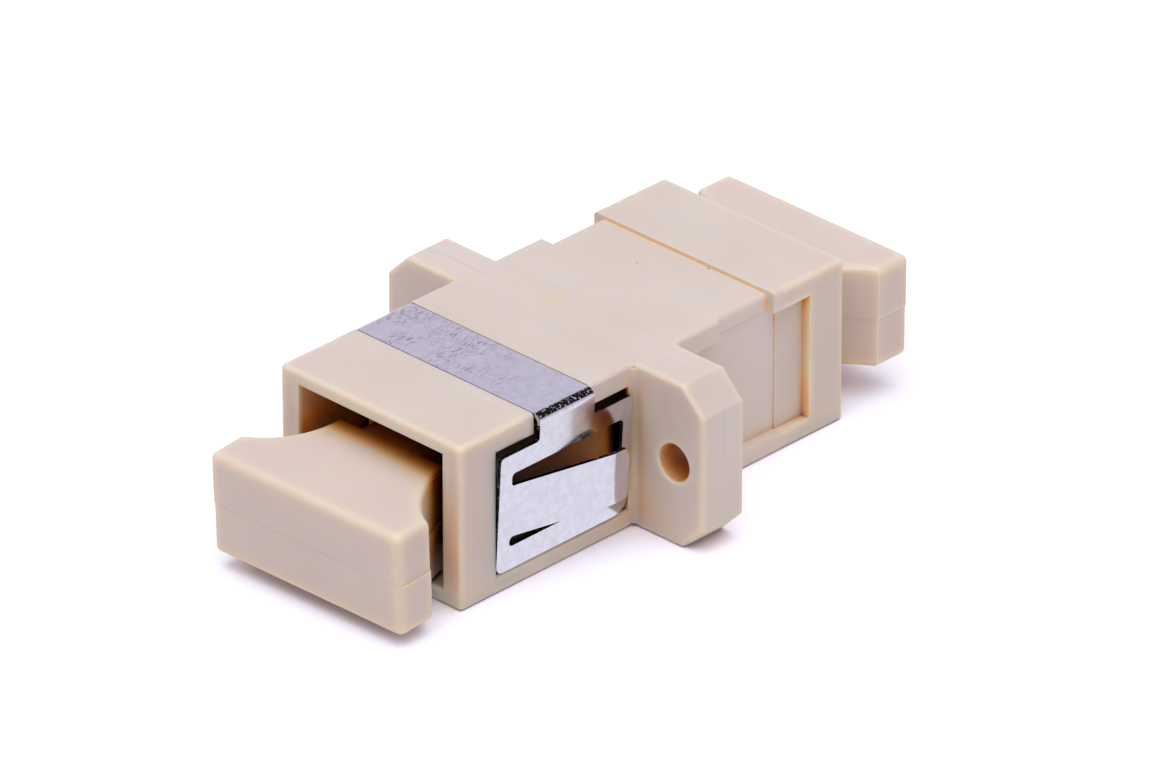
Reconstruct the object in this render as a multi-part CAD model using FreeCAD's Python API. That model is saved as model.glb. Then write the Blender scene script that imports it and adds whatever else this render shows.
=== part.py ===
import FreeCAD, Part
import math
import os

# Simplex SC fibre-optic adapter with a side flange, a spring clip and two dust caps.
# Millimetres. X is the optical axis, the clip is on the -X half, +Z is up, and the
# origin is on the optical axis in the plane where the two body halves are welded.

# ---- Body ------------------------------------------------------------------
body_width = 12.7
body_height = 9.3
half_length = 13.88            # weld plane to port mouth
body_edge_radius = 0.2

flange_half_thickness = 1.5
flange_width = 22.3
flange_corner_chamfer = 1.42
flange_root_fillet = 0.4
screw_inset = 2.05             # screw axis to the flange's end
screw_hole_diameter = 2.1
screw_hole_chamfer = 0.1

port_width = 10.2
port_top_wall = 0.7
port_bottom_wall = 0.8
keyway_width = 2.6
keyway_length = 4.6
guide_rib_thickness = 0.55
guide_rib_height = 1.5
guide_rib_setback = 2.6        # mouth to the start of a guide rib
guide_rib_lead_in = 0.5

recess_start = 4.7             # weld plane to the band recess
recess_length = 4.0

pocket_start = 1.92            # weld plane to the side pocket
mouth_frame = 2.48             # pocket to port mouth
pocket_floor_height = 1.03     # body bottom to the pocket's lower wall
pocket_top_wall = 1.15         # pocket's upper wall to body top
pocket_neck_depth = 0.62
pocket_step_start = 9.35       # weld plane to the pad at the pocket's mouth end
pocket_pad_depth = 0.55
pocket_lower_chamfer = 0.14
neck_ledge = 0.2               # height of the slope from the neck to the pocket floor
neck_upper_inset = 0.5         # side inset of the neck above that slope
neck_edge_radius = 0.3         # along the neck's top edges, under the clip's bends

tab_slot_width = 0.42
tab_slot_height = 4.0

weld_key_width = 0.8           # a tongue on one ear that fits a pocket in the other half's
weld_key_height = 3.0
weld_key_length = 0.7
weld_key_offset = 7.0          # optical axis to the middle of the tongue
weld_key_clearance = 0.05

# ---- Sleeve and its holders ---------------------------------------------------
sleeve_bore = 2.5
sleeve_wall = 0.35
sleeve_length = 11.4
sleeve_slot = 0.5
sleeve_clearance = 0.1         # radial, sleeve to holder tube
sleeve_end_play = 0.15

base_width = 11.6
base_thickness = 1.2
base_clearance = 0.05
base_corner_radius = 0.6
tube_wall = 0.65
tube_lip_length = 1.25
tube_lip_bore = 2.9
tube_lead_in = 0.45

arm_length = 8.0               # base plate to arm tip
arm_height = 3.2
arm_thickness = 0.65
arm_wall_gap = 0.3             # arm to the port's side wall
arm_root_fillet = 0.3
hook_length = 1.3
hook_gap = 0.25                # hook to the dust cap's stem
hook_ramp = 0.5

# ---- Retention clip -----------------------------------------------------------
clip_thickness = 0.2
clip_band_clearance = 0.05
clip_half_width = 6.64         # middle of the band to a leg's outer face at the bend
clip_side_shift = 0.14         # the clip sits loosely, this far over towards -Y
clip_bend_radius = 0.5
clip_leg_lean = 3.4            # degrees
clip_end_clearance = 0.03      # leg to the pocket's flange end
clip_mouth_clearance = 0.03    # leg to the pocket's mouth end
clip_shoulder_gap = 0.27       # leg's shoulders below the pocket's upper wall
clip_leg_bottom_gap = 0.04
clip_notch_radius = 0.18
clip_shoulder_radius = 0.25
clip_foot_radius_mouth = 0.48
clip_foot_radius_flange = 1.0

window_flange_rim = 0.62       # metal left at the leg's flange end
window_corner_radius = 0.3
window_height = 4.3
window_drop = 0.08             # optical axis to the middle of the window
tongue_height = 3.0
tongue_drop = 0.1              # middle of the window to the middle of the tongue
tongue_slot_radius = 0.24
tongue_root_rim = 0.85         # leg's mouth end to the slots' closed ends
tongue_bend_setback = 0.35     # slots' closed ends to the tongue's root bend
tongue_rise_angle = 12.5       # degrees
tongue_rise_length = 5.7       # along X
tongue_tip_length = 1.1
tongue_bend_radius = 1.2
tongue_tip_radius = 0.35
tab_height = 3.4
tab_reach = 1.25               # leg's outer face to the tab's end

# ---- Dust caps ------------------------------------------------------------------
cap_width = 12.8
cap_thickness = 5.8
cap_face_distance = 19.1       # weld plane to the front cap's grip face
cap_rear_face_distance = 18.75
cap_grip_length = 6.55
cap_neck_width = 7.4
cap_scoop_radius = 4.72
cap_scoop_rim_radius = 0.3
cap_scoop_rim_facets = 3       # cones that make up the rim's quarter round
cap_edge_radius = 0.38
cap_parting_shift = 0.07       # the mould's halves met this far out of line
stem_diameter = 7.05
stem_end_distance = 4.0        # weld plane to the stem's open end
stem_bore_clearance = 0.5      # radial, stem bore to holder tube
stem_bore_depth = 5.0
stem_end_chamfer = 0.3
front_cap_pivot = 5.5          # weld plane to the point the front cap leans about
front_cap_yaw = 2.2            # degrees, the grip swings towards -Y
front_cap_droop = 2.6          # degrees, the grip hangs down
front_cap_roll = 0.7
front_cap_drop = 0.35          # its stem lies this far below the optical axis
rear_cap_lift = 0.15           # and the rear cap's this far above it

# ---- Derived places ---------------------------------------------------------------
half_width = body_width / 2
half_height = body_height / 2
screw_offset = flange_width / 2 - screw_inset
port_floor = -half_height + port_bottom_wall
port_roof = half_height - port_top_wall
pocket_bottom = -half_height + pocket_floor_height
pocket_top = half_height - pocket_top_wall
pocket_end = half_length - mouth_frame
recess_end = recess_start + recess_length
sleeve_outer_radius = sleeve_bore / 2 + sleeve_wall
tube_bore_radius = sleeve_outer_radius + sleeve_clearance
tube_radius = tube_bore_radius + tube_wall
tube_end = sleeve_length / 2 + sleeve_end_play + tube_lip_length
arm_outer = port_width / 2 - arm_wall_gap
arm_inner = arm_outer - arm_thickness
hook_inner = stem_diameter / 2 + hook_gap
cut_margin = 1.0               # how far cutting tools run past the faces they cut
x_axis = FreeCAD.Vector(1, 0, 0)
y_axis = FreeCAD.Vector(0, 1, 0)
z_axis = FreeCAD.Vector(0, 0, 1)
origin = FreeCAD.Vector(0, 0, 0)


# ---- Shape helpers ------------------------------------------------------------------
def block(x_range, y_range, z_range):
    """A box between two values on each axis, given in either order."""
    lows = [min(pair) for pair in (x_range, y_range, z_range)]
    sizes = [abs(pair[1] - pair[0]) for pair in (x_range, y_range, z_range)]
    return Part.makeBox(*sizes, FreeCAD.Vector(*lows))


def rod(radius, x_from, x_to, y=0.0, z=0.0):
    """A cylinder along X between two values of x."""
    start = FreeCAD.Vector(min(x_from, x_to), y, z)
    return Part.makeCylinder(radius, abs(x_to - x_from), start, x_axis)


def cone(radius_from, radius_to, x_from, x_to, y=0.0, z=0.0):
    """A truncated cone along X, with its first radius at x_from."""
    start = FreeCAD.Vector(x_from, y, z)
    direction = x_axis if x_to > x_from else -x_axis
    return Part.makeCone(radius_from, radius_to, abs(x_to - x_from), start, direction)


def rounded_outline(corners):
    """A closed wire through (point, radius) corners, each rounded by a tangent arc."""
    spans = []
    count = len(corners)
    for index, (corner, radius) in enumerate(corners):
        before = corners[index - 1][0]
        after = corners[(index + 1) % count][0]
        towards_before = (before - corner).normalize()
        towards_after = (after - corner).normalize()
        if radius == 0:
            spans.append((corner, None, corner))
            continue
        half_angle = towards_before.getAngle(towards_after) / 2
        setback = radius / math.tan(half_angle)
        bisector = (towards_before + towards_after).normalize()
        middle = corner + bisector * (radius / math.sin(half_angle) - radius)
        spans.append((corner + towards_before * setback, middle, corner + towards_after * setback))
    edges = []
    for index, (start, middle, end) in enumerate(spans):
        if middle is not None:
            edges.append(Part.Arc(start, middle, end).toShape())
        next_start = spans[(index + 1) % count][0]
        if end.distanceToPoint(next_start) > 1e-6:
            edges.append(Part.LineSegment(end, next_start).toShape())
    return Part.Wire(edges)


def extrude_outline(corners, direction):
    """A prism on a rounded outline."""
    return Part.Face(rounded_outline(corners)).extrude(direction)


def across_y(shape):
    """The shape's mirror image on the other side of the XZ plane."""
    return shape.mirror(origin, y_axis)


def turned_round(shape):
    """The same moulding turned half a turn about Z, for the rear half."""
    turned = shape.copy()
    turned.rotate(origin, z_axis, 180)
    return turned


def fillet_where(shape, radius, wanted):
    """Rounds the edges for which wanted(edge) is true."""
    return shape.makeFillet(radius, [edge for edge in shape.Edges if wanted(edge)])


def lies_at(edge, axis, value):
    """True if the whole edge lies at one value of x, y or z."""
    box = edge.BoundBox
    low, high = {"x": (box.XMin, box.XMax), "y": (box.YMin, box.YMax), "z": (box.ZMin, box.ZMax)}[axis]
    return abs(low - value) < 1e-4 and abs(high - value) < 1e-4


# ---- Housing half ---------------------------------------------------------------------
def body_blank():
    """The solid outer form: a bar with half of the flange across it, edges rounded."""
    flange_edge = flange_width / 2
    at = FreeCAD.Vector
    plan = [
        (at(0, -flange_edge, -half_height), 0),
        (at(0, flange_edge, -half_height), 0),
        (at(-flange_half_thickness, flange_edge, -half_height), 0),
        (at(-flange_half_thickness, half_width, -half_height), 0),
        (at(-half_length, half_width, -half_height), 0),
        (at(-half_length, -half_width, -half_height), 0),
        (at(-flange_half_thickness, -half_width, -half_height), 0),
        (at(-flange_half_thickness, -flange_edge, -half_height), 0),
    ]
    blank = extrude_outline(plan, z_axis * body_height)
    chamfer = flange_corner_chamfer
    octagon = [
        (at(cut_margin, flange_edge, -half_height + chamfer), 0),
        (at(cut_margin, flange_edge, half_height - chamfer), 0),
        (at(cut_margin, flange_edge - chamfer, half_height), 0),
        (at(cut_margin, chamfer - flange_edge, half_height), 0),
        (at(cut_margin, -flange_edge, half_height - chamfer), 0),
        (at(cut_margin, -flange_edge, -half_height + chamfer), 0),
        (at(cut_margin, chamfer - flange_edge, -half_height), 0),
        (at(cut_margin, flange_edge - chamfer, -half_height), 0),
    ]
    blank = blank.common(extrude_outline(octagon, x_axis * -(half_length + 2 * cut_margin)))

    def outer_edge(edge):
        at_body_side = abs(abs(edge.CenterOfMass.y) - half_width) < 1e-4
        in_root = at_body_side and lies_at(edge, "x", -flange_half_thickness)
        along_side = edge.BoundBox.ZLength > body_height - 1e-4 and not lies_at(edge, "x", -half_length)
        return not (lies_at(edge, "x", 0) or in_root or along_side)

    blank = fillet_where(blank, body_edge_radius, outer_edge)
    return blank.fuse(root_web(-1)).fuse(root_web(1))


def root_web(side):
    """The concave fillet in the corner between the flange and one side of the body."""
    fillet = flange_root_fillet
    corner_x = -flange_half_thickness
    corner_y = side * half_width
    low = body_edge_radius - half_height
    at = FreeCAD.Vector
    middle = fillet * (1 - math.sqrt(0.5))
    section = Part.Face(Part.Wire([
        Part.LineSegment(at(corner_x, corner_y, low), at(corner_x - fillet, corner_y, low)).toShape(),
        Part.Arc(at(corner_x - fillet, corner_y, low), at(corner_x - middle, corner_y + side * middle, low),
                 at(corner_x, corner_y + side * fillet, low)).toShape(),
        Part.LineSegment(at(corner_x, corner_y + side * fillet, low), at(corner_x, corner_y, low)).toShape(),
    ]))
    return section.extrude(z_axis * (body_height - 2 * body_edge_radius))


def pocket_side_cuts():
    """What is cut from the -Y side: the neck, the pocket down to its pad and its floor, the tab slot."""
    outside = -(half_width + cut_margin)
    neck_floor = pocket_neck_depth - half_width
    upper_floor = neck_upper_inset - half_width
    pad_floor = pocket_pad_depth - half_width
    at = FreeCAD.Vector
    ledge_top = pocket_top + neck_ledge / 2
    ledge_bottom = pocket_top - neck_ledge / 2
    neck_profile = [
        (at(-recess_start, outside, half_height + cut_margin), 0),
        (at(-recess_start, upper_floor, half_height + cut_margin), 0),
        (at(-recess_start, upper_floor, ledge_top), 0),
        (at(-recess_start, neck_floor, ledge_bottom), 0),
        (at(-recess_start, neck_floor, 0), 0),
        (at(-recess_start, outside, 0), 0),
    ]
    neck = extrude_outline(neck_profile, x_axis * -recess_length)
    chamfer = pocket_lower_chamfer
    pocket_profile = [
        (at(-pocket_start, outside, pocket_top), 0),
        (at(-pocket_start, pad_floor, pocket_top), 0),
        (at(-pocket_start, pad_floor, pocket_bottom), 0),
        (at(-pocket_start, chamfer - half_width, pocket_bottom), 0),
        (at(-pocket_start, -half_width, pocket_bottom - chamfer), 0),
        (at(-pocket_start, outside, pocket_bottom - chamfer), 0),
    ]
    pocket = extrude_outline(pocket_profile, x_axis * (pocket_start - pocket_end))
    deeper = block((-pocket_start, -pocket_step_start), (outside, neck_floor), (pocket_bottom, pocket_top))
    slot_end = pocket_start + tab_slot_width
    slot = block((-pocket_start, -slot_end), (outside, -port_width / 2 + cut_margin),
                 (-tab_slot_height / 2, tab_slot_height / 2))
    return [neck, pocket, deeper, slot]


def guide_rib(side, level):
    """A rib in a corner of the port that guides the plug, with a tapered start."""
    wall = side * port_width / 2
    inner = wall - side * guide_rib_thickness
    rib_mouth = -(half_length - guide_rib_setback)
    if level > 0:
        low = port_roof - guide_rib_height
    else:
        low = port_floor
    at = FreeCAD.Vector
    outline = [
        (at(-base_thickness, wall, low), 0),
        (at(-base_thickness, inner, low), 0),
        (at(rib_mouth + 2 * guide_rib_lead_in, inner, low), 0),
        (at(rib_mouth, wall, low), 0),
    ]
    return extrude_outline(outline, z_axis * guide_rib_height)


def weld_key(side, clearance):
    """The tongue that lines up the halves, or with a clearance the pocket for the other one."""
    across = weld_key_width / 2 + clearance
    high = weld_key_height / 2 + clearance
    reach = weld_key_length + clearance
    centre = side * weld_key_offset
    root = -flange_half_thickness / 2
    x_range = (root, reach) if side > 0 else (-reach, cut_margin)
    return block(x_range, (centre - across, centre + across), (-high, high))


def housing_half():
    """The -X half of the body. The rear half is the same moulding turned round."""
    half = body_blank()
    for cut in pocket_side_cuts():
        half = half.cut(cut).cut(across_y(cut))
    wide = half_width + cut_margin
    neck_top = half_height - clip_thickness
    half = half.cut(block((-recess_start, -recess_end), (-wide, wide), (neck_top, half_height + cut_margin)))
    half = fillet_where(half, neck_edge_radius, lambda edge: lies_at(edge, "z", neck_top) and (
        lies_at(edge, "y", half_width - neck_upper_inset) or lies_at(edge, "y", neck_upper_inset - half_width)))
    half = half.cut(block((-half_length - cut_margin, -base_thickness),
                          (-port_width / 2, port_width / 2), (port_floor, port_roof)))
    for side in (-1, 1):
        for level in (-1, 1):
            half = half.fuse(guide_rib(side, level))
    half = half.cut(block((-half_length - cut_margin, keyway_length - half_length),
                          (-keyway_width / 2, keyway_width / 2),
                          (-half_height - cut_margin, port_floor + cut_margin)))
    half = half.cut(base_plate(base_clearance))
    for side in (-1, 1):
        y = side * screw_offset
        radius = screw_hole_diameter / 2
        chamfer = screw_hole_chamfer
        half = half.cut(rod(radius, -flange_half_thickness - cut_margin, cut_margin, y))
        half = half.cut(cone(radius + chamfer, radius, -flange_half_thickness,
                             chamfer - flange_half_thickness, y))
    half = half.fuse(weld_key(1, 0)).cut(weld_key(-1, weld_key_clearance))
    return half.removeSplitter()


# ---- Sleeve holder -----------------------------------------------------------------------
def base_plate(clearance=0.0):
    """The holder's base plate, or with a clearance the seat that takes it."""
    across = base_width / 2 + clearance
    low = port_floor + base_clearance - clearance
    high = port_roof - base_clearance + clearance
    radius = base_corner_radius
    at = FreeCAD.Vector
    outline = [
        (at(0, -across, low), radius),
        (at(0, across, low), radius),
        (at(0, across, high), radius),
        (at(0, -across, high), radius),
    ]
    return extrude_outline(outline, x_axis * -base_thickness)


def latch_arm():
    """The +Y latch arm: a flat spring with a ramped hook that faces the axis."""
    root = -base_thickness
    tip = root - arm_length
    hook_start = tip + hook_length
    at = FreeCAD.Vector
    low = -arm_height / 2
    outline = [
        (at(root + base_thickness / 2, arm_outer, low), 0),
        (at(root + base_thickness / 2, arm_inner, low), 0),
        (at(hook_start, arm_inner, low), 0),
        (at(hook_start, hook_inner, low), 0),
        (at(tip + hook_ramp, hook_inner, low), 0),
        (at(tip, arm_inner, low), 0),
        (at(tip, arm_outer, low), 0),
    ]
    arm = extrude_outline(outline, z_axis * arm_height)
    fillet = arm_root_fillet
    foot = [
        (at(root, arm_inner, low), 0),
        (at(root, arm_inner - fillet, low), 0),
        (at(root - fillet, arm_inner, low), 0),
    ]
    return arm.fuse(extrude_outline(foot, z_axis * arm_height))


def sleeve_holder():
    """The -X holder: base plate, tube with a lip that keeps the sleeve in, two latch arms."""
    holder = base_plate()
    holder = holder.fuse(rod(tube_radius, 0, -tube_end))
    arm = latch_arm()
    holder = holder.fuse(arm).fuse(across_y(arm))
    bore_end = tube_end - tube_lip_length
    holder = holder.cut(rod(tube_bore_radius, cut_margin, -bore_end))
    holder = holder.cut(rod(tube_lip_bore / 2, cut_margin, -tube_end - cut_margin))
    holder = holder.cut(cone(tube_lip_bore / 2 + tube_lead_in, tube_lip_bore / 2,
                             -tube_end, tube_lead_in - tube_end))
    return holder.removeSplitter()


def alignment_sleeve():
    """A thin tube split along its length."""
    half = sleeve_length / 2
    sleeve = rod(sleeve_outer_radius, -half, half)
    sleeve = sleeve.cut(rod(sleeve_bore / 2, -half - cut_margin, half + cut_margin))
    slot = block((-half - cut_margin, half + cut_margin), (-sleeve_slot / 2, sleeve_slot / 2),
                 (0, sleeve_outer_radius + cut_margin))
    return sleeve.cut(slot)


# ---- Retention clip --------------------------------------------------------------------------
def clip_leg():
    """The -Y leg, upright: plate with its window, bent tongue and inward tab."""
    at = FreeCAD.Vector
    outer = -clip_half_width
    bend_height = half_height - clip_bend_radius
    shoulder = pocket_top - clip_shoulder_gap
    foot = pocket_bottom + clip_leg_bottom_gap
    flange_end = -(pocket_start + clip_end_clearance)
    mouth_end = clip_mouth_clearance - pocket_end
    band_from = -(recess_start + clip_band_clearance)
    band_to = -(recess_end - clip_band_clearance)
    plate = extrude_outline([
        (at(band_from, outer, bend_height), 0),
        (at(band_from, outer, shoulder), clip_notch_radius),
        (at(flange_end, outer, shoulder), clip_shoulder_radius),
        (at(flange_end, outer, foot), clip_foot_radius_flange),
        (at(mouth_end, outer, foot), clip_foot_radius_mouth),
        (at(mouth_end, outer, shoulder), clip_shoulder_radius),
        (at(band_to, outer, shoulder), clip_notch_radius),
        (at(band_to, outer, bend_height), 0),
    ], y_axis * clip_thickness)

    window_top = window_height / 2 - window_drop
    window_bottom = window_top - window_height
    tongue_top = tongue_height / 2 - tongue_drop - window_drop
    tongue_bottom = tongue_top - tongue_height
    slot_end = mouth_end + tongue_root_rim
    bend = slot_end + tongue_bend_setback
    window_start = flange_end - window_flange_rim
    plate = plate.cut(extrude_outline([
        (at(window_start, outer - cut_margin, window_top), window_corner_radius),
        (at(slot_end, outer - cut_margin, window_top), tongue_slot_radius),
        (at(slot_end, outer - cut_margin, tongue_top), tongue_slot_radius),
        (at(bend, outer - cut_margin, tongue_top), 0),
        (at(bend, outer - cut_margin, tongue_bottom), 0),
        (at(slot_end, outer - cut_margin, tongue_bottom), tongue_slot_radius),
        (at(slot_end, outer - cut_margin, window_bottom), tongue_slot_radius),
        (at(window_start, outer - cut_margin, window_bottom), window_corner_radius),
    ], y_axis * (clip_thickness + 2 * cut_margin)))
    plate = plate.fuse(spring_tongue(bend, outer, tongue_bottom))

    tab_end = outer + tab_reach
    tab = block((flange_end, flange_end - clip_thickness), (outer, tab_end), (-tab_height / 2, tab_height / 2))
    return plate.fuse(tab)


def spring_tongue(root, outer, low):
    """The tongue: a strip that rises from its root and runs level again at its tip."""
    at = FreeCAD.Vector
    rise = tongue_rise_length * math.tan(math.radians(tongue_rise_angle))
    knee = root + tongue_rise_length
    tip = knee + tongue_tip_length
    # The inner face is the outer face moved in by one thickness, mitred at both bends.
    mitre = clip_thickness * math.tan(math.radians(tongue_rise_angle) / 2)
    thick = clip_thickness
    bend_in = tongue_bend_radius
    bend_out = tongue_bend_radius + thick
    strip = extrude_outline([
        (at(root - tongue_bend_setback, outer, low), 0),
        (at(root, outer, low), bend_in),
        (at(knee, outer - rise, low), bend_out),
        (at(tip, outer - rise, low), 0),
        (at(tip, outer - rise + thick, low), 0),
        (at(knee + mitre, outer - rise + thick, low), bend_in),
        (at(root + mitre, outer + thick, low), bend_out),
        (at(root - tongue_bend_setback, outer + thick, low), 0),
    ], z_axis * tongue_height)
    face = outer - rise - cut_margin
    tip_outline = extrude_outline([
        (at(root - tongue_bend_setback, face, low), 0),
        (at(root - tongue_bend_setback, face, low + tongue_height), 0),
        (at(tip, face, low + tongue_height), tongue_tip_radius),
        (at(tip, face, low), tongue_tip_radius),
    ], y_axis * (rise + thick + 2 * cut_margin))
    return strip.common(tip_outline)


def clip_bend():
    """The -Y bend between the band and a leg: a sector of a ring, turned by the lean too."""
    centre = FreeCAD.Vector(0, clip_bend_radius - clip_half_width, half_height - clip_bend_radius)
    band_from = -(recess_start + clip_band_clearance)
    band_width = recess_length - 2 * clip_band_clearance
    start = centre + x_axis * band_from
    inner_radius = clip_bend_radius - clip_thickness
    section = Part.Face(Part.Wire([
        Part.LineSegment(start + z_axis * inner_radius, start + z_axis * clip_bend_radius).toShape(),
        arc_about_x(start, clip_bend_radius, 90, 180 + clip_leg_lean),
        Part.LineSegment(on_circle(start, clip_bend_radius, 180 + clip_leg_lean),
                         on_circle(start, inner_radius, 180 + clip_leg_lean)).toShape(),
        arc_about_x(start, inner_radius, 180 + clip_leg_lean, 90),
    ]))
    return section.extrude(x_axis * -band_width), centre


def on_circle(centre, radius, degrees):
    """A point on a circle in the YZ plane, counted from +Y towards +Z."""
    angle = math.radians(degrees)
    return centre + FreeCAD.Vector(0, radius * math.cos(angle), radius * math.sin(angle))


def arc_about_x(centre, radius, degrees_from, degrees_to):
    """A circular edge in the YZ plane between two angles."""
    middle = (degrees_from + degrees_to) / 2
    return Part.Arc(on_circle(centre, radius, degrees_from), on_circle(centre, radius, middle),
                    on_circle(centre, radius, degrees_to)).toShape()


def retention_clip():
    """The folded clip: band over the top, a bend each side, two legs that lean in."""
    bend, bend_centre = clip_bend()
    leg = clip_leg()
    leg.rotate(bend_centre, x_axis, clip_leg_lean)
    side = leg.fuse(bend)
    flat = clip_half_width - clip_bend_radius
    band_from = -(recess_start + clip_band_clearance)
    band_to = -(recess_end - clip_band_clearance)
    band = block((band_from, band_to), (-flat, flat), (half_height - clip_thickness, half_height))
    clip = band.fuse(side).fuse(across_y(side)).removeSplitter()
    clip.translate(y_axis * -clip_side_shift)
    return clip


# ---- Dust cap ------------------------------------------------------------------------------------
def scoop_tool(side):
    """Cuts one finger scoop: a drum about the vertical axis that flares over both rims."""
    radius = cap_scoop_radius
    flare = cap_scoop_rim_radius
    rim = cap_thickness / 2
    past = rim + cut_margin
    quarter = []
    for facet in range(cap_scoop_rim_facets + 1):
        angle = math.radians(90 * facet / cap_scoop_rim_facets)
        quarter.append((radius + flare * (1 - math.cos(angle)), rim - flare * (1 - math.sin(angle))))
    upper = quarter + [(radius + flare, past), (0, past)]
    lower = [(out, -up) for out, up in reversed(upper)]
    axis = FreeCAD.Vector(cap_grip_length, side * (cap_neck_width / 2 + radius), 0)
    points = [axis + FreeCAD.Vector(out, 0, up) for out, up in lower + upper]
    profile = Part.makePolygon(points + points[:1])
    return Part.Face(profile).revolve(axis, z_axis, 360)


def cap_grip():
    """The grip: a block with rounded edges and two scoops, stepped at the mould's parting plane."""
    across = cap_width / 2
    rim = cap_thickness / 2

    def outer_edge(edge):
        along_side = lies_at(edge, "y", across) or lies_at(edge, "y", -across)
        return lies_at(edge, "x", 0) or (along_side and not lies_at(edge, "x", cap_grip_length))

    grip = block((0, cap_grip_length), (-across, across), (-rim, rim))
    grip = fillet_where(grip, cap_edge_radius, outer_edge)
    grip = grip.cut(scoop_tool(1)).cut(scoop_tool(-1))
    x_range = (-cut_margin, cap_grip_length + cut_margin)
    upper = grip.common(block(x_range, (-cap_width, cap_width), (0, cap_thickness)))
    lower = grip.common(block(x_range, (-cap_width, cap_width), (-cap_thickness, 0)))
    lower.translate(y_axis * -cap_parting_shift)
    return upper.fuse(lower)


def dust_cap(face_distance, height):
    """A cap with its grip face at x = -face_distance, its axis at a height, its stem in the port."""
    grip = cap_grip()
    stem_length = face_distance - stem_end_distance
    radius = stem_diameter / 2
    shoulder = stem_length - stem_end_chamfer
    stem = rod(radius, cap_grip_length / 2, shoulder)
    stem = stem.fuse(cone(radius, radius - stem_end_chamfer, shoulder, stem_length))
    flats = block((0, stem_length + cut_margin), (-stem_diameter, stem_diameter),
                  (-cap_thickness / 2, cap_thickness / 2))
    cap = grip.fuse(stem.common(flats))
    bore_radius = tube_radius + stem_bore_clearance
    cap = cap.cut(rod(bore_radius, stem_length - stem_bore_depth, stem_length + cut_margin))
    cap.translate(FreeCAD.Vector(-face_distance, 0, height))
    return cap


def front_dust_cap():
    """The front cap sits loosely, so it has dropped and leans on the holder's tube."""
    cap = dust_cap(cap_face_distance, -front_cap_drop)
    pivot = FreeCAD.Vector(-front_cap_pivot, 0, -front_cap_drop)
    cap.rotate(pivot, x_axis, front_cap_roll)
    cap.rotate(pivot, y_axis, -front_cap_droop)
    cap.rotate(pivot, z_axis, front_cap_yaw)
    return cap


# ---- Write one STEP file for each piece --------------------------------------------------------------
housing = housing_half()
holder = sleeve_holder()
pieces = {
    "housing_front_half": housing,
    "housing_rear_half": turned_round(housing),
    "sleeve_holder_front": holder,
    "sleeve_holder_rear": turned_round(holder),
    "alignment_sleeve": alignment_sleeve(),
    "retention_clip": retention_clip(),
    "dust_cap_front": front_dust_cap(),
    "dust_cap_rear": turned_round(dust_cap(cap_rear_face_distance, rear_cap_lift)),
}

os.makedirs("parts", exist_ok=True)
for name, shape in pieces.items():
    solid = shape.Solids[0] if len(shape.Solids) == 1 else shape
    print(name, "solids", len(shape.Solids), "valid", shape.isValid(), "mm3", round(shape.Volume, 2))
    solid.exportStep("parts/" + name + ".step")
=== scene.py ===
import math

import bpy
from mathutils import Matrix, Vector


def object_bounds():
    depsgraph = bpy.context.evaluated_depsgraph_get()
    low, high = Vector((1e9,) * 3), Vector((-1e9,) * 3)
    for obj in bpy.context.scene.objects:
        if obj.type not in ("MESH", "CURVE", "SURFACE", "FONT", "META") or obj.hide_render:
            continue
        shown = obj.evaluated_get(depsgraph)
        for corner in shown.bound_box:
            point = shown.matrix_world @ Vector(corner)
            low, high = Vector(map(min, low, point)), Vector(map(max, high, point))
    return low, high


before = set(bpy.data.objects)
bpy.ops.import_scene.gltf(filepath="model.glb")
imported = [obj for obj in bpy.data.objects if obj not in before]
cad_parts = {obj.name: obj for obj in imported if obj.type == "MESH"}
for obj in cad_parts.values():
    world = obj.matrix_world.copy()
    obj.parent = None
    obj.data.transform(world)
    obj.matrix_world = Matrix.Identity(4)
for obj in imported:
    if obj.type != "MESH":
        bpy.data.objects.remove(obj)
cad_low, cad_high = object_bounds()


# ---- Housing halves --------------------------------------------------------------
# The body is two like mouldings in beige PBT, welded face to face at the flange. The
# mould was spark-eroded, so the skin is a fine satin. The plastic lets light a little
# way in; its colour also carries a painted cream glow at the edges and painted amber to
# near-black shade in deep corners and narrow gaps.
MM = 0.001
rear_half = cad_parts["housing_rear_half"]
# Each half reaches from the weld plane to its port's mouth.
half_length = max(corner.co.x for corner in rear_half.data.vertices)
neck_middle = 5.6 * MM      # weld plane to the middle of the thin neck
neck_reach = 3.8 * MM       # from there to the neck's ends
pocket_floor = 5.68 * MM    # middle of the body to the floor of a side pocket
pocket_middle = -6.8 * MM   # weld plane to the middle of the pockets that the clip covers
pocket_reach = 4.9 * MM     # from there to those pockets' ends
mould_grain = 0.12 * MM
sink_width = 2.5 * MM
mark_brown = "#7A5A48"


def linear(code):
    """An sRGB hex colour as linear RGBA."""
    channels = [int(code[i:i + 2], 16) / 255 for i in (1, 3, 5)]
    return tuple(c / 12.92 if c <= 0.04045 else ((c + 0.055) / 1.055) ** 2.4 for c in channels) + (1.0,)


def add(tree, kind, sockets=None, ramp=None, **settings):
    """Adds one node. sockets maps an input to a value, or to the output that feeds it.
    ramp is a colour ramp's list of (position, hex colour). A Mix node of colours has its
    share at input 0 and the colours at 6 and 7."""
    made = tree.nodes.new("ShaderNode" + kind)
    for name, value in settings.items():
        setattr(made, name, value)
    for name, value in (sockets or {}).items():
        if isinstance(value, bpy.types.NodeSocket):
            tree.links.new(value, made.inputs[name])
        else:
            made.inputs[name].default_value = value
    if ramp:
        stops = made.color_ramp.elements
        while len(stops) < len(ramp):
            stops.new(0.5)
        for stop, (position, code) in zip(stops, ramp):
            stop.position = position
            stop.color = linear(code)
    return made


def start_finish(name):
    """A new material with an empty tree, for one finish."""
    material = bpy.data.materials.new(name)
    material.use_nodes = True
    material.node_tree.nodes.clear()
    return material, material.node_tree


def dress(node, material):
    """Gives a CAD node's material slots one finish."""
    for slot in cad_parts[node].material_slots:
        slot.material = material


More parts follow.
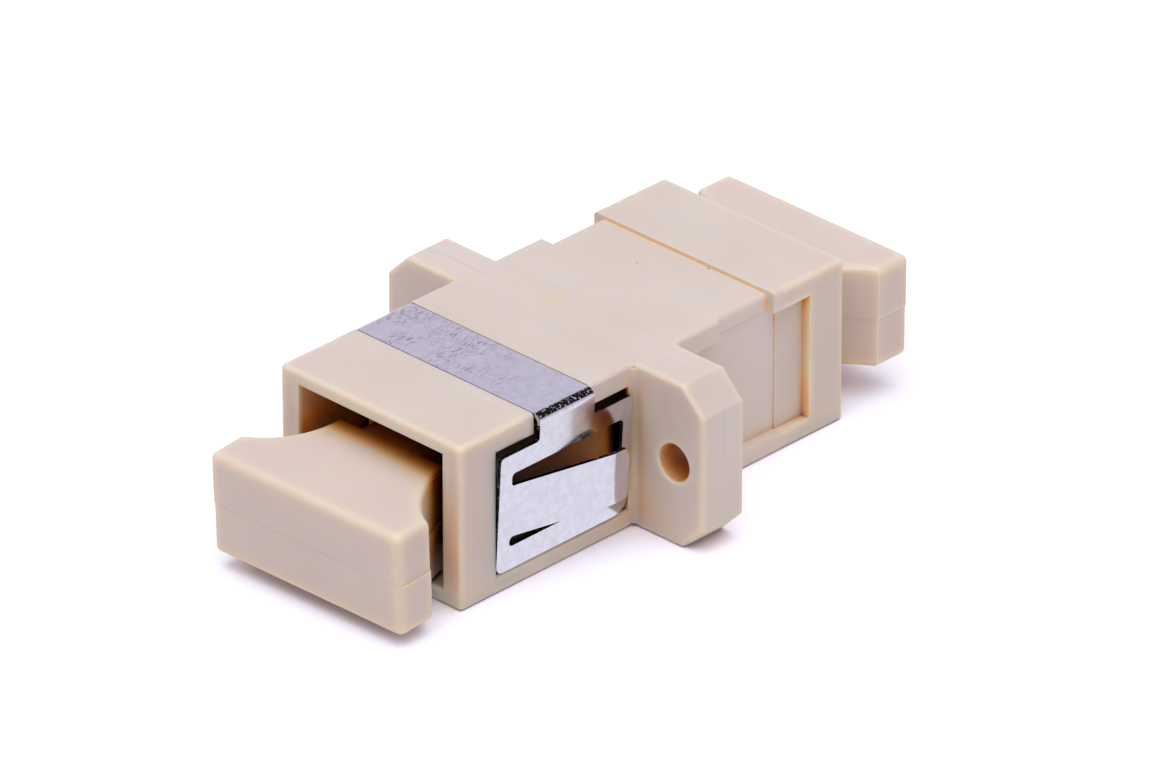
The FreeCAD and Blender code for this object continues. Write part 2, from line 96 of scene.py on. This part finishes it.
def paint_glow_and_shade(tree, tone, reach, painted_glow_share=1.0, painted_shade_share=1.0, extra_painted_shade=0.0):
    """The tone of a plastic that lets light a little way in, with light and shade painted into it:
    a painted cream glow within reach of a thin edge, painted amber shade where the place is shut
    in, and painted near-black shade deep inside or in a narrow gap. painted_glow_share and
    painted_shade_share weaken the cream and the amber. extra_painted_shade is taken off the share
    of open air, from 0 to 1, where less light comes in than that share says."""
    # Painted cream glow within reach of a thin edge.
    thick = add(tree, "AmbientOcclusion", {"Distance": reach}, samples=8, inside=True)
    thin = add(tree, "MapRange", {"Value": thick.outputs["AO"], "From Min": 0.5, "From Max": 0.97,
                                  "To Min": 0.85, "To Max": 0.0})
    edge = add(tree, "Math", {0: thin.outputs["Result"], 1: painted_glow_share}, operation="MULTIPLY")
    edged = add(tree, "Mix", {0: edge.outputs[0], 6: tone, 7: linear("#FCE4C6")}, data_type="RGBA")
    # Painted amber to near-black shade where the place is shut in.
    around = add(tree, "AmbientOcclusion", {"Distance": 4 * MM}, samples=8)
    open_air = add(tree, "Math", {0: around.outputs["AO"], 1: extra_painted_shade}, operation="SUBTRACT")
    amber = add(tree, "ValToRGB", {"Fac": open_air.outputs[0]}, ramp=[
        (0.08, "#140100"), (0.19, "#7A1E00"), (0.3, "#EA8400"), (0.41, "#FFB414"), (0.51, "#FFDA9C"),
        (0.64, "#F4DEC0")])
    shut_in = add(tree, "MapRange", {"Value": open_air.outputs[0], "From Min": 0.4, "From Max": 0.7,
                                     "To Min": 1.0, "To Max": 0.0})
    # White card lights the lowest 3 mm from below, so they stay pale: the painted shade is weakened
    # there.
    height = add(tree, "SeparateXYZ", {"Vector": add(tree, "TexCoord").outputs["Object"]})
    off_floor = add(tree, "MapRange", {"Value": height.outputs["Z"], "From Min": cad_low.z,
                                       "From Max": cad_low.z + 3 * MM, "To Min": 0.1, "To Max": 1.0})
    above = add(tree, "Math", {0: shut_in.outputs["Result"], 1: off_floor.outputs["Result"]},
                operation="MULTIPLY")
    share = add(tree, "Math", {0: above.outputs[0], 1: painted_shade_share}, operation="MULTIPLY")
    deep = add(tree, "Mix", {0: share.outputs[0], 6: edged.outputs[2], 7: amber.outputs["Color"]},
               data_type="RGBA")
    # Painted near-black shade in narrow gaps.
    gap = add(tree, "AmbientOcclusion", {"Distance": 1.2 * MM}, samples=8)
    dark = add(tree, "MapRange", {"Value": gap.outputs["AO"], "From Min": 0.1, "From Max": 0.38,
                                  "To Min": 1.0, "To Max": 0.0})
    return add(tree, "Mix", {0: dark.outputs["Result"], 6: deep.outputs[2], 7: linear("#0A0100")},
               data_type="RGBA").outputs[2]


def moulded_relief(tree, place, has_sinks=True):
    """The normal of a spark-eroded skin: fine grain, and over thick walls broad sink marks."""
    grain = add(tree, "TexNoise", {"Vector": place, "Scale": 1 / mould_grain, "Detail": 2.0})
    relief = add(tree, "Bump", {"Height": grain.outputs["Fac"], "Strength": 0.15,
                                "Distance": 0.02 * MM})
    if has_sinks:
        sink = add(tree, "TexNoise", {"Vector": place, "Scale": 1 / sink_width, "Detail": 2.0})
        relief = add(tree, "Bump", {"Height": sink.outputs["Fac"], "Normal": relief.outputs["Normal"],
                                    "Strength": 0.25, "Distance": 0.06 * MM})
    return relief.outputs["Normal"]


# PBT has an IOR of 1.55. Red light goes furthest into it, and blue the least.
pbt = {"IOR": 1.55, "Subsurface Radius": (1.0, 0.7, 0.42), "Subsurface Scale": 1.1 * MM}
housing_pbt, tree = start_finish("spark_eroded_beige_pbt")
place = add(tree, "TexCoord").outputs["Object"]
flow = add(tree, "TexNoise", {"Vector": place, "Scale": 1 / (6 * MM), "Detail": 3.0})
tone = add(tree, "ValToRGB", {"Fac": flow.outputs["Fac"]}, ramp=[(0.3, "#E4D1C3"), (0.7, "#E9D8CB")])
# Grains of scorched resin, 0.1 mm across, lie in the plastic, and a few reach the skin.
cells = add(tree, "TexVoronoi", {"Vector": place, "Scale": 1 / (2.2 * MM)})
grain_size = add(tree, "MapRange", {"Value": cells.outputs["Distance"], "From Min": 0.02,
                                    "From Max": 0.035, "To Min": 1.0, "To Max": 0.0})
chosen = add(tree, "SeparateColor", {"Color": cells.outputs["Color"]})
is_scorched = add(tree, "Math", {0: chosen.outputs["Red"], 1: 0.75}, operation="GREATER_THAN")
scorched = add(tree, "Math", {0: grain_size.outputs["Result"], 1: is_scorched.outputs[0]},
               operation="MULTIPLY")
# The weld line shows here and there as a hairline where the halves meet, 0.05 mm wide.
along = add(tree, "SeparateXYZ", {"Vector": place})
from_weld = add(tree, "Math", {0: along.outputs["X"]}, operation="ABSOLUTE")
weld_line = add(tree, "MapRange", {"Value": from_weld.outputs[0], "From Min": 0.01 * MM,
                                   "From Max": 0.04 * MM, "To Min": 0.22, "To Max": 0.0})
here_and_there = add(tree, "MapRange", {"Value": flow.outputs["Fac"], "From Min": 0.45,
                                        "From Max": 0.62})
weld_seen = add(tree, "Math", {0: weld_line.outputs["Result"], 1: here_and_there.outputs["Result"]},
                operation="MULTIPLY")
marks = add(tree, "Math", {0: scorched.outputs[0], 1: weld_seen.outputs[0]}, operation="MAXIMUM")
marked = add(tree, "Mix", {0: marks.outputs[0], 6: tone.outputs["Color"], 7: linear(mark_brown)},
             data_type="RGBA")
# A drop of glue has left a faint yellow stain on top, 1.3 mm to one side of the middle.
stain_centre = (0.6 * MM, 1.3 * MM, cad_high.z)
from_stain = add(tree, "VectorMath", {0: place, 1: stain_centre}, operation="DISTANCE")
blotch = add(tree, "TexNoise", {"Vector": place, "Scale": 1 / (0.5 * MM), "Detail": 3.0})
ragged = add(tree, "Math", {0: blotch.outputs["Fac"], 1: -1.4 * MM, 2: from_stain.outputs["Value"]},
             operation="MULTIPLY_ADD")
stain = add(tree, "MapRange", {"Value": ragged.outputs[0], "From Min": -0.5 * MM,
                               "From Max": 0.35 * MM, "To Min": 0.4, "To Max": 0.0})
stained = add(tree, "Mix", {0: stain.outputs["Result"], 6: marked.outputs[2], 7: linear("#EAD6A2")},
              data_type="RGBA")
# The face in the weld plane isn't an edge, and the neck is thin all over, so neither gets the
# painted cream glow. The end face round a port's mouth lies open, so it gets little painted shade.
off_weld = add(tree, "MapRange", {"Value": from_weld.outputs[0], "From Min": 0.5 * MM,
                                  "From Max": 0.9 * MM})
on_neck = add(tree, "Math", {0: from_weld.outputs[0], 1: neck_middle, 2: neck_reach},
              operation="COMPARE")
in_solid = add(tree, "Math", {0: on_neck.outputs[0], 1: -0.8, 2: 1.0}, operation="MULTIPLY_ADD")
painted_glow_share = add(tree, "Math", {0: in_solid.outputs[0], 1: off_weld.outputs["Result"]},
                 operation="MULTIPLY")
off_end = add(tree, "MapRange", {"Value": from_weld.outputs[0], "From Min": half_length - 0.4 * MM,
                                 "From Max": half_length - 0.05 * MM, "To Min": 1.0, "To Max": 0.3})
# Behind the clip's legs the pockets get little light, so their painted shade is deepened.
across = add(tree, "Math", {0: along.outputs["Y"]}, operation="ABSOLUTE")
at_floor = add(tree, "Math", {0: across.outputs[0], 1: pocket_floor, 2: 0.5 * MM},
               operation="COMPARE")
behind_leg = add(tree, "Math", {0: along.outputs["X"], 1: pocket_middle, 2: pocket_reach},
                 operation="COMPARE")
shaded = add(tree, "Math", {0: at_floor.outputs[0], 1: behind_leg.outputs[0]}, operation="MULTIPLY")
extra_painted_shade = add(tree, "Math", {0: shaded.outputs[0], 1: 0.22}, operation="MULTIPLY")
# Light can't cross from one shell to the other, so the scattering fades out at the weld.
scatter = add(tree, "MapRange", {"Value": from_weld.outputs[0], "From Min": 0.3 * MM,
                                 "From Max": 2.0 * MM}, interpolation_type="SMOOTHSTEP")
scattered = add(tree, "Math", {0: scatter.outputs["Result"], 1: in_solid.outputs[0]},
                operation="MULTIPLY")
# The base colour carries the painted cream glow and the painted amber to near-black shade.
skin = add(tree, "BsdfPrincipled", {
    **pbt,
    "Base Color": paint_glow_and_shade(tree, stained.outputs[2], 0.5 * MM, painted_glow_share.outputs[0],
                              off_end.outputs["Result"], extra_painted_shade.outputs[0]),
    "Normal": moulded_relief(tree, place),
    "Roughness": 0.42,
    "Subsurface Weight": scattered.outputs[0],
})
add(tree, "OutputMaterial", {"Surface": skin.outputs["BSDF"]})
dress("housing_front_half", housing_pbt)
dress("housing_rear_half", housing_pbt)


# ---- Sleeve holders --------------------------------------------------------------
# Each holder is one PBT moulding: a base plate in the weld plane, a tube for the sleeve
# and two latch arms. It is a shade darker than the body, with the same satin skin.
holder_pbt, tree = start_finish("satin_beige_pbt_holder")
place = add(tree, "TexCoord").outputs["Object"]
flow = add(tree, "TexNoise", {"Vector": place, "Scale": 1 / (4 * MM), "Detail": 3.0})
tone = add(tree, "ValToRGB", {"Fac": flow.outputs["Fac"]}, ramp=[(0.3, "#DCC6B4"), (0.7, "#E3D0C0")])
# Its colour carries a painted cream glow at thin edges and painted amber to black shade in hollows.
skin = add(tree, "BsdfPrincipled", {
    **pbt,
    "Base Color": paint_glow_and_shade(tree, tone.outputs["Color"], 0.4 * MM),
    "Normal": moulded_relief(tree, place, has_sinks=False),
    "Roughness": 0.38,
})
add(tree, "OutputMaterial", {"Surface": skin.outputs["BSDF"]})
dress("sleeve_holder_front", holder_pbt)
dress("sleeve_holder_rear", holder_pbt)


# ---- Alignment sleeve ------------------------------------------------------------
# A tube of phosphor bronze 0.35 mm thick, rolled from strip and left split along its
# length. Rolling leaves fine rings, and the metal has dulled a little.
bronze, tree = start_finish("rolled_phosphor_bronze")
place = add(tree, "TexCoord").outputs["Object"]
rings = add(tree, "Mapping", {"Vector": place, "Scale": (1 / (0.06 * MM), 1 / (2 * MM), 1 / (2 * MM))})
roll_marks = add(tree, "TexNoise", {"Vector": rings.outputs["Vector"], "Scale": 1.0, "Detail": 2.0})
dulled = add(tree, "MapRange", {"Value": roll_marks.outputs["Fac"], "To Min": 0.16, "To Max": 0.34})
ring_relief = add(tree, "Bump", {"Height": roll_marks.outputs["Fac"], "Strength": 0.2,
                                 "Distance": 0.005 * MM})
metal = add(tree, "BsdfPrincipled", {
    "Base Color": linear("#DDA87B"),
    "Metallic": 1.0,
    "Roughness": dulled.outputs["Result"],
    "Normal": ring_relief.outputs["Normal"],
})
add(tree, "OutputMaterial", {"Surface": metal.outputs["BSDF"]})
dress("alignment_sleeve", bronze)


# ---- Spring clip -----------------------------------------------------------------
# Stainless spring strip 0.2 mm thick, blanked, then folded over the body, with a tongue
# bent out on each side to hold the panel. The strip is rolled bright, with a slight
# orange peel and short scuffs from handling. The sheared edges are rough, and painted
# near black as shade, with painted bright glints.
fold_depth = 0.5 * MM    # top of the body to where the legs are straight
strip_steel, tree = start_finish("bright_rolled_stainless_strip")
place = add(tree, "TexCoord").outputs["Object"]
along = add(tree, "SeparateXYZ", {"Vector": place})
# The scuffs lie slantwise in patches, mostly on the +Y half of the band across the top.
turned = add(tree, "Mapping", {"Vector": place, "Rotation": (0.0, 0.0, math.radians(14)),
                               "Scale": (1 / (0.3 * MM), 1 / (0.11 * MM), 1 / (0.3 * MM))})
scuff_lines = add(tree, "TexNoise", {"Vector": turned.outputs["Vector"], "Scale": 1.0, "Detail": 1.5,
                                     "Distortion": 0.5})
stroke = add(tree, "MapRange", {"Value": scuff_lines.outputs["Fac"], "From Min": 0.5, "From Max": 0.68})
rubbed = add(tree, "TexNoise", {"Vector": place, "Scale": 1 / (1.6 * MM), "Detail": 2.0})
patch = add(tree, "MapRange", {"Value": rubbed.outputs["Fac"], "From Min": 0.38, "From Max": 0.6})
one_half = add(tree, "MapRange", {"Value": along.outputs["Y"], "From Min": -5.0 * MM,
                                  "From Max": 0.5 * MM, "To Min": 0.12, "To Max": 1.0})
on_band = add(tree, "MapRange", {"Value": along.outputs["Z"],
                                 "From Min": cad_high.z - 2 * fold_depth,
                                 "From Max": cad_high.z - fold_depth + 0.1 * MM,
                                 "To Min": 0.25, "To Max": 1.0})
in_patch = add(tree, "Math", {0: patch.outputs["Result"], 1: one_half.outputs["Result"]},
               operation="MULTIPLY")
worn = add(tree, "Math", {0: in_patch.outputs[0], 1: on_band.outputs["Result"]}, operation="MULTIPLY")
scuffed = add(tree, "Math", {0: stroke.outputs["Result"], 1: worn.outputs[0]}, operation="MULTIPLY")
# The roll's gloss drifts over 1.4 mm, and the scuffs dull it.
cloud = add(tree, "TexNoise", {"Vector": place, "Scale": 1 / (1.4 * MM), "Detail": 3.0})
gloss = add(tree, "MapRange", {"Value": cloud.outputs["Fac"], "From Min": 0.3, "From Max": 0.7,
                               "To Min": 0.09, "To Max": 0.16})
scuff_dull = add(tree, "Math", {0: scuffed.outputs[0], 1: 0.12, 2: gloss.outputs["Result"]},
                 operation="MULTIPLY_ADD")
# A face that looks up, down, or along the body on a leg is a sheared edge of the strip.
facing = add(tree, "SeparateXYZ", {"Vector": add(tree, "NewGeometry").outputs["True Normal"]})
sideways = add(tree, "Math", {0: facing.outputs["Y"]}, operation="ABSOLUTE")
not_flat = add(tree, "Math", {0: sideways.outputs[0], 1: 0.6}, operation="LESS_THAN")
on_leg = add(tree, "Math", {0: along.outputs["Z"], 1: cad_high.z - fold_depth - 0.1 * MM},
             operation="LESS_THAN")
sheared = add(tree, "Math", {0: on_leg.outputs[0], 1: not_flat.outputs[0]}, operation="MULTIPLY")
# Shearing tears that edge rough. It is painted near-black as shade, with painted bright glints 0.1 mm
# across.
tear_and_glint_noise = add(tree, "TexNoise", {"Vector": place, "Scale": 1 / (0.1 * MM), "Detail": 2.0})
edge_shade_and_glints = add(tree, "ValToRGB", {"Fac": tear_and_glint_noise.outputs["Fac"]}, ramp=[
    (0.5, "#0C080A"), (0.6, "#3A3236"), (0.68, "#C8C2CC")])
mottle = add(tree, "TexNoise", {"Vector": place, "Scale": 1 / (0.45 * MM), "Detail": 4.0,
                                "Distortion": 0.6})
mottled = add(tree, "ValToRGB", {"Fac": mottle.outputs["Fac"]}, ramp=[
    (0.36, "#D6D3DA"), (0.5, "#DAD8DE"), (0.64, "#DFDDE3")])
scuff_tone = add(tree, "Mix", {0: scuffed.outputs[0], 6: mottled.outputs["Color"], 7: linear("#AFA3A8")},
                 data_type="RGBA")
colour = add(tree, "Mix", {0: sheared.outputs[0], 6: scuff_tone.outputs[2],
                           7: edge_shade_and_glints.outputs["Color"]}, data_type="RGBA")
peel = add(tree, "TexNoise", {"Vector": place, "Scale": 1 / (0.35 * MM), "Detail": 3.0})
peel_relief = add(tree, "Bump", {"Height": peel.outputs["Fac"], "Strength": 0.15, "Distance": 0.01 * MM})
scuff_relief = add(tree, "Bump", {"Height": scuffed.outputs[0], "Normal": peel_relief.outputs["Normal"],
                                  "Strength": 0.22, "Distance": 0.01 * MM})
# Folding stretches the skin into fine crazing, on the faces between level and upright.
on_bend = add(tree, "Math", {0: sideways.outputs[0], 1: 0.5, 2: 0.44}, operation="COMPARE")
nick = add(tree, "MapRange", {"Value": tear_and_glint_noise.outputs["Fac"], "From Min": 0.62, "From Max": 0.73})
crazed = add(tree, "Math", {0: nick.outputs["Result"], 1: on_bend.outputs[0]}, operation="MULTIPLY")
craze_relief = add(tree, "Bump", {"Height": crazed.outputs[0], "Normal": scuff_relief.outputs["Normal"],
                                  "Strength": 0.7, "Distance": 0.02 * MM})
metal = add(tree, "BsdfPrincipled", {
    "Base Color": colour.outputs[2],
    "Metallic": 1.0,
    "Roughness": scuff_dull.outputs[0],
    "Normal": craze_relief.outputs["Normal"],
})
add(tree, "OutputMaterial", {"Surface": metal.outputs["BSDF"]})
dress("retention_clip", strip_steel)


# ---- Dust caps -------------------------------------------------------------------
# Each cap is one PBT moulding: a grip with a finger scoop each side, and a hollow stem for
# the latch arms to close on. The mould parts at mid-height and leaves a hairline all round.
# The front cap isn't pushed home and droops, so its parting line leans with it.
flash_width = 0.06 * MM
cap_lean = {
    "dust_cap_front": {"Location": (-5.5 * MM, 0.0, -0.35 * MM),
                       "Rotation": (math.radians(0.7), math.radians(-2.6), math.radians(2.2))},
    "dust_cap_rear": {"Location": (0.0, 0.0, 0.15 * MM), "Rotation": (0.0, 0.0, 0.0)},
}
for cap, lean_of_cap in cap_lean.items():
    cap_pbt, tree = start_finish("satin_beige_pbt_" + cap)
    place = add(tree, "TexCoord").outputs["Object"]
    straight = add(tree, "Mapping", {"Vector": place, **lean_of_cap}, vector_type="TEXTURE")
    level = add(tree, "SeparateXYZ", {"Vector": straight.outputs["Vector"]})
    flow = add(tree, "TexNoise", {"Vector": place, "Scale": 1 / (6 * MM), "Detail": 3.0})
    tone = add(tree, "ValToRGB", {"Fac": flow.outputs["Fac"]}, ramp=[(0.3, "#E3D1C4"), (0.7, "#E9D8CB")])
    # The two half moulds don't quite meet: the skin steps by 0.03 mm and holds a faint line.
    from_parting = add(tree, "Math", {0: level.outputs["Z"]}, operation="ABSOLUTE")
    flash = add(tree, "MapRange", {"Value": from_parting.outputs[0], "From Min": flash_width / 3,
                                   "From Max": flash_width, "To Min": 0.09, "To Max": 0.0})
    lined = add(tree, "Mix", {0: flash.outputs["Result"], 6: tone.outputs["Color"],
                              7: linear(mark_brown)}, data_type="RGBA")
    parting = add(tree, "MapRange", {"Value": level.outputs["Z"], "From Min": -flash_width / 2,
                                     "From Max": flash_width / 2})
    parting_step = add(tree, "Bump", {"Height": parting.outputs["Result"],
                                      "Normal": moulded_relief(tree, place),
                                      "Strength": 0.6, "Distance": 0.03 * MM})
    # Inside the port's mouth the cap gets little light, so its painted shade is deepened there.
    along = add(tree, "SeparateXYZ", {"Vector": place})
    from_middle = add(tree, "Math", {0: along.outputs["X"]}, operation="ABSOLUTE")
    extra_painted_shade = add(tree, "MapRange", {"Value": from_middle.outputs[0], "From Min": half_length - 1.28 * MM,
                                  "From Max": half_length + 0.32 * MM, "To Min": 0.16, "To Max": 0.0})
    # The stem's wall is too thin for the scattering model, so it fades out behind the grip.
    scatter = add(tree, "MapRange", {"Value": from_middle.outputs[0],
                                     "From Min": half_length - 1.48 * MM,
                                     "From Max": half_length - 0.28 * MM})
    # The base colour carries a painted cream glow at thin edges and painted amber to black shade in
    # hollows.
    skin = add(tree, "BsdfPrincipled", {
        **pbt,
        "Base Color": paint_glow_and_shade(tree, lined.outputs[2], 0.8 * MM, extra_painted_shade=extra_painted_shade.outputs["Result"]),
        "Normal": parting_step.outputs["Normal"],
        "Roughness": 0.42,
        "Subsurface Weight": scatter.outputs["Result"],
    })
    add(tree, "OutputMaterial", {"Surface": skin.outputs["BSDF"]})
    dress(cap, cap_pbt)


# ---- Floor -----------------------------------------------------------------------
# A sheet of white card 4 m square. The camera sees it at full white, darkened by the
# object's shadow and by a painted shadow, brown to lavender, close to it. Metal mirrors
# it evenly white.
floor_half = 2.0
floor_mesh = bpy.data.meshes.new("floor")
floor_mesh.from_pydata(
    [(-floor_half, -floor_half, cad_low.z), (floor_half, -floor_half, cad_low.z),
     (floor_half, floor_half, cad_low.z), (-floor_half, floor_half, cad_low.z)],
    [], [(0, 1, 2, 3)])
floor = bpy.data.objects.new("floor", floor_mesh)
bpy.context.scene.collection.objects.link(floor)
card, tree = start_finish("white_card")
path = add(tree, "LightPath")
near = add(tree, "AmbientOcclusion", {"Distance": 4 * MM}, samples=16)
shade = add(tree, "ValToRGB", {"Fac": near.outputs["AO"]}, ramp=[
    (0.05, "#0C0200"), (0.21, "#70401F"), (0.34, "#CFB9BF"), (0.48, "#DAD0E2"), (0.63, "#F3EFFF")])
paper = add(tree, "BsdfDiffuse", {"Color": linear("#F7F6FA")})
# Lit card falls short of full white, so what the camera sees of it glows for the rest;
# that glow holds the painted shadow close to the object.
glow = add(tree, "Emission", {"Color": shade.outputs["Color"], "Strength": 0.34})
mirrored = add(tree, "Emission", {"Color": linear("#F4F4FF"), "Strength": 1.09})
shown = add(tree, "AddShader", {0: paper.outputs["BSDF"], 1: glow.outputs["Emission"]})
in_gloss = add(tree, "MixShader", {0: path.outputs["Is Glossy Ray"], 1: paper.outputs["BSDF"],
                                   2: mirrored.outputs["Emission"]})
by_ray = add(tree, "MixShader", {0: path.outputs["Is Camera Ray"], 1: in_gloss.outputs["Shader"],
                                 2: shown.outputs["Shader"]})
add(tree, "OutputMaterial", {"Surface": by_ray.outputs["Shader"]})
floor_mesh.materials.append(card)


# ---- Studio ----------------------------------------------------------------------
# One large softbox overhead, and a pale room. Polished metal sees lit walls all round and
# a dark ceiling above them, which gives the clip its black line along the fold.
world = bpy.data.worlds.new("studio")
bpy.context.scene.world = world
world.use_nodes = True
tree = world.node_tree
tree.nodes.clear()
path = add(tree, "LightPath")
direction = add(tree, "TexCoord").outputs["Generated"]
upward = add(tree, "SeparateXYZ", {"Vector": direction}).outputs["Z"]
# The dark ceiling round the softbox starts about 40 degrees up, and 20 to the camera's right.
camera_right = (0.65, -0.76, 0.0)
to_right = add(tree, "VectorMath", {0: direction, 1: camera_right}, operation="DOT_PRODUCT")
lowered = add(tree, "MapRange", {"Value": to_right.outputs["Value"], "From Min": 0.35,
                                 "From Max": 0.8, "To Min": 0.0, "To Max": 0.3})
raised = add(tree, "Math", {0: upward, 1: lowered.outputs["Result"]}, operation="ADD")
wall = add(tree, "MapRange", {"Value": raised.outputs[0], "From Min": 0.6, "From Max": 0.67,
                              "To Min": 0.86, "To Max": 0.01})
room = add(tree, "Background", {"Color": linear("#F7F2FA"), "Strength": 0.36})
walls = add(tree, "Background", {"Color": linear("#EDE8FA"), "Strength": wall.outputs["Result"]})
white = add(tree, "Background", {"Color": linear("#FFFFFF"), "Strength": 1.0})
by_gloss = add(tree, "MixShader", {0: path.outputs["Is Glossy Ray"], 1: room.outputs["Background"],
                                   2: walls.outputs["Background"]})
by_view = add(tree, "MixShader", {0: path.outputs["Is Camera Ray"], 1: by_gloss.outputs["Shader"],
                                  2: white.outputs["Background"]})
add(tree, "OutputWorld", {"Surface": by_view.outputs["Shader"]})

softbox_data = bpy.data.lights.new("softbox", "AREA")
softbox_data.shape = "SQUARE"
softbox_data.size = 0.9
softbox_data.energy = 6.0
softbox_data.color = linear("#F3F8FF")[:3]
softbox = bpy.data.objects.new("softbox", softbox_data)
bpy.context.scene.collection.objects.link(softbox)
softbox.location = (-0.11, -0.07, 0.78)
softbox.rotation_euler = softbox.location.to_track_quat("Z", "Y").to_euler()


# ---- Camera ----------------------------------------------------------------------
# A long lens 0.67 m away, above the corner between the front port and the clip's -Y leg.
# It takes in 59 mm across at the object.
camera_data = bpy.data.cameras.new("camera")
camera_data.sensor_width = 36.0
camera_data.lens = 413.5
camera_data.clip_end = 20.0
camera = bpy.data.objects.new("camera", camera_data)
bpy.context.scene.collection.objects.link(camera)
camera.location = (-421.2 * MM, -411.15 * MM, 326.1 * MM)
view_direction = Vector((0.6268, 0.6104, -0.4842))
camera.rotation_euler = view_direction.to_track_quat("-Z", "Y").to_euler()
bpy.context.scene.camera = camera
bpy.context.scene.view_settings.view_transform = "Standard"
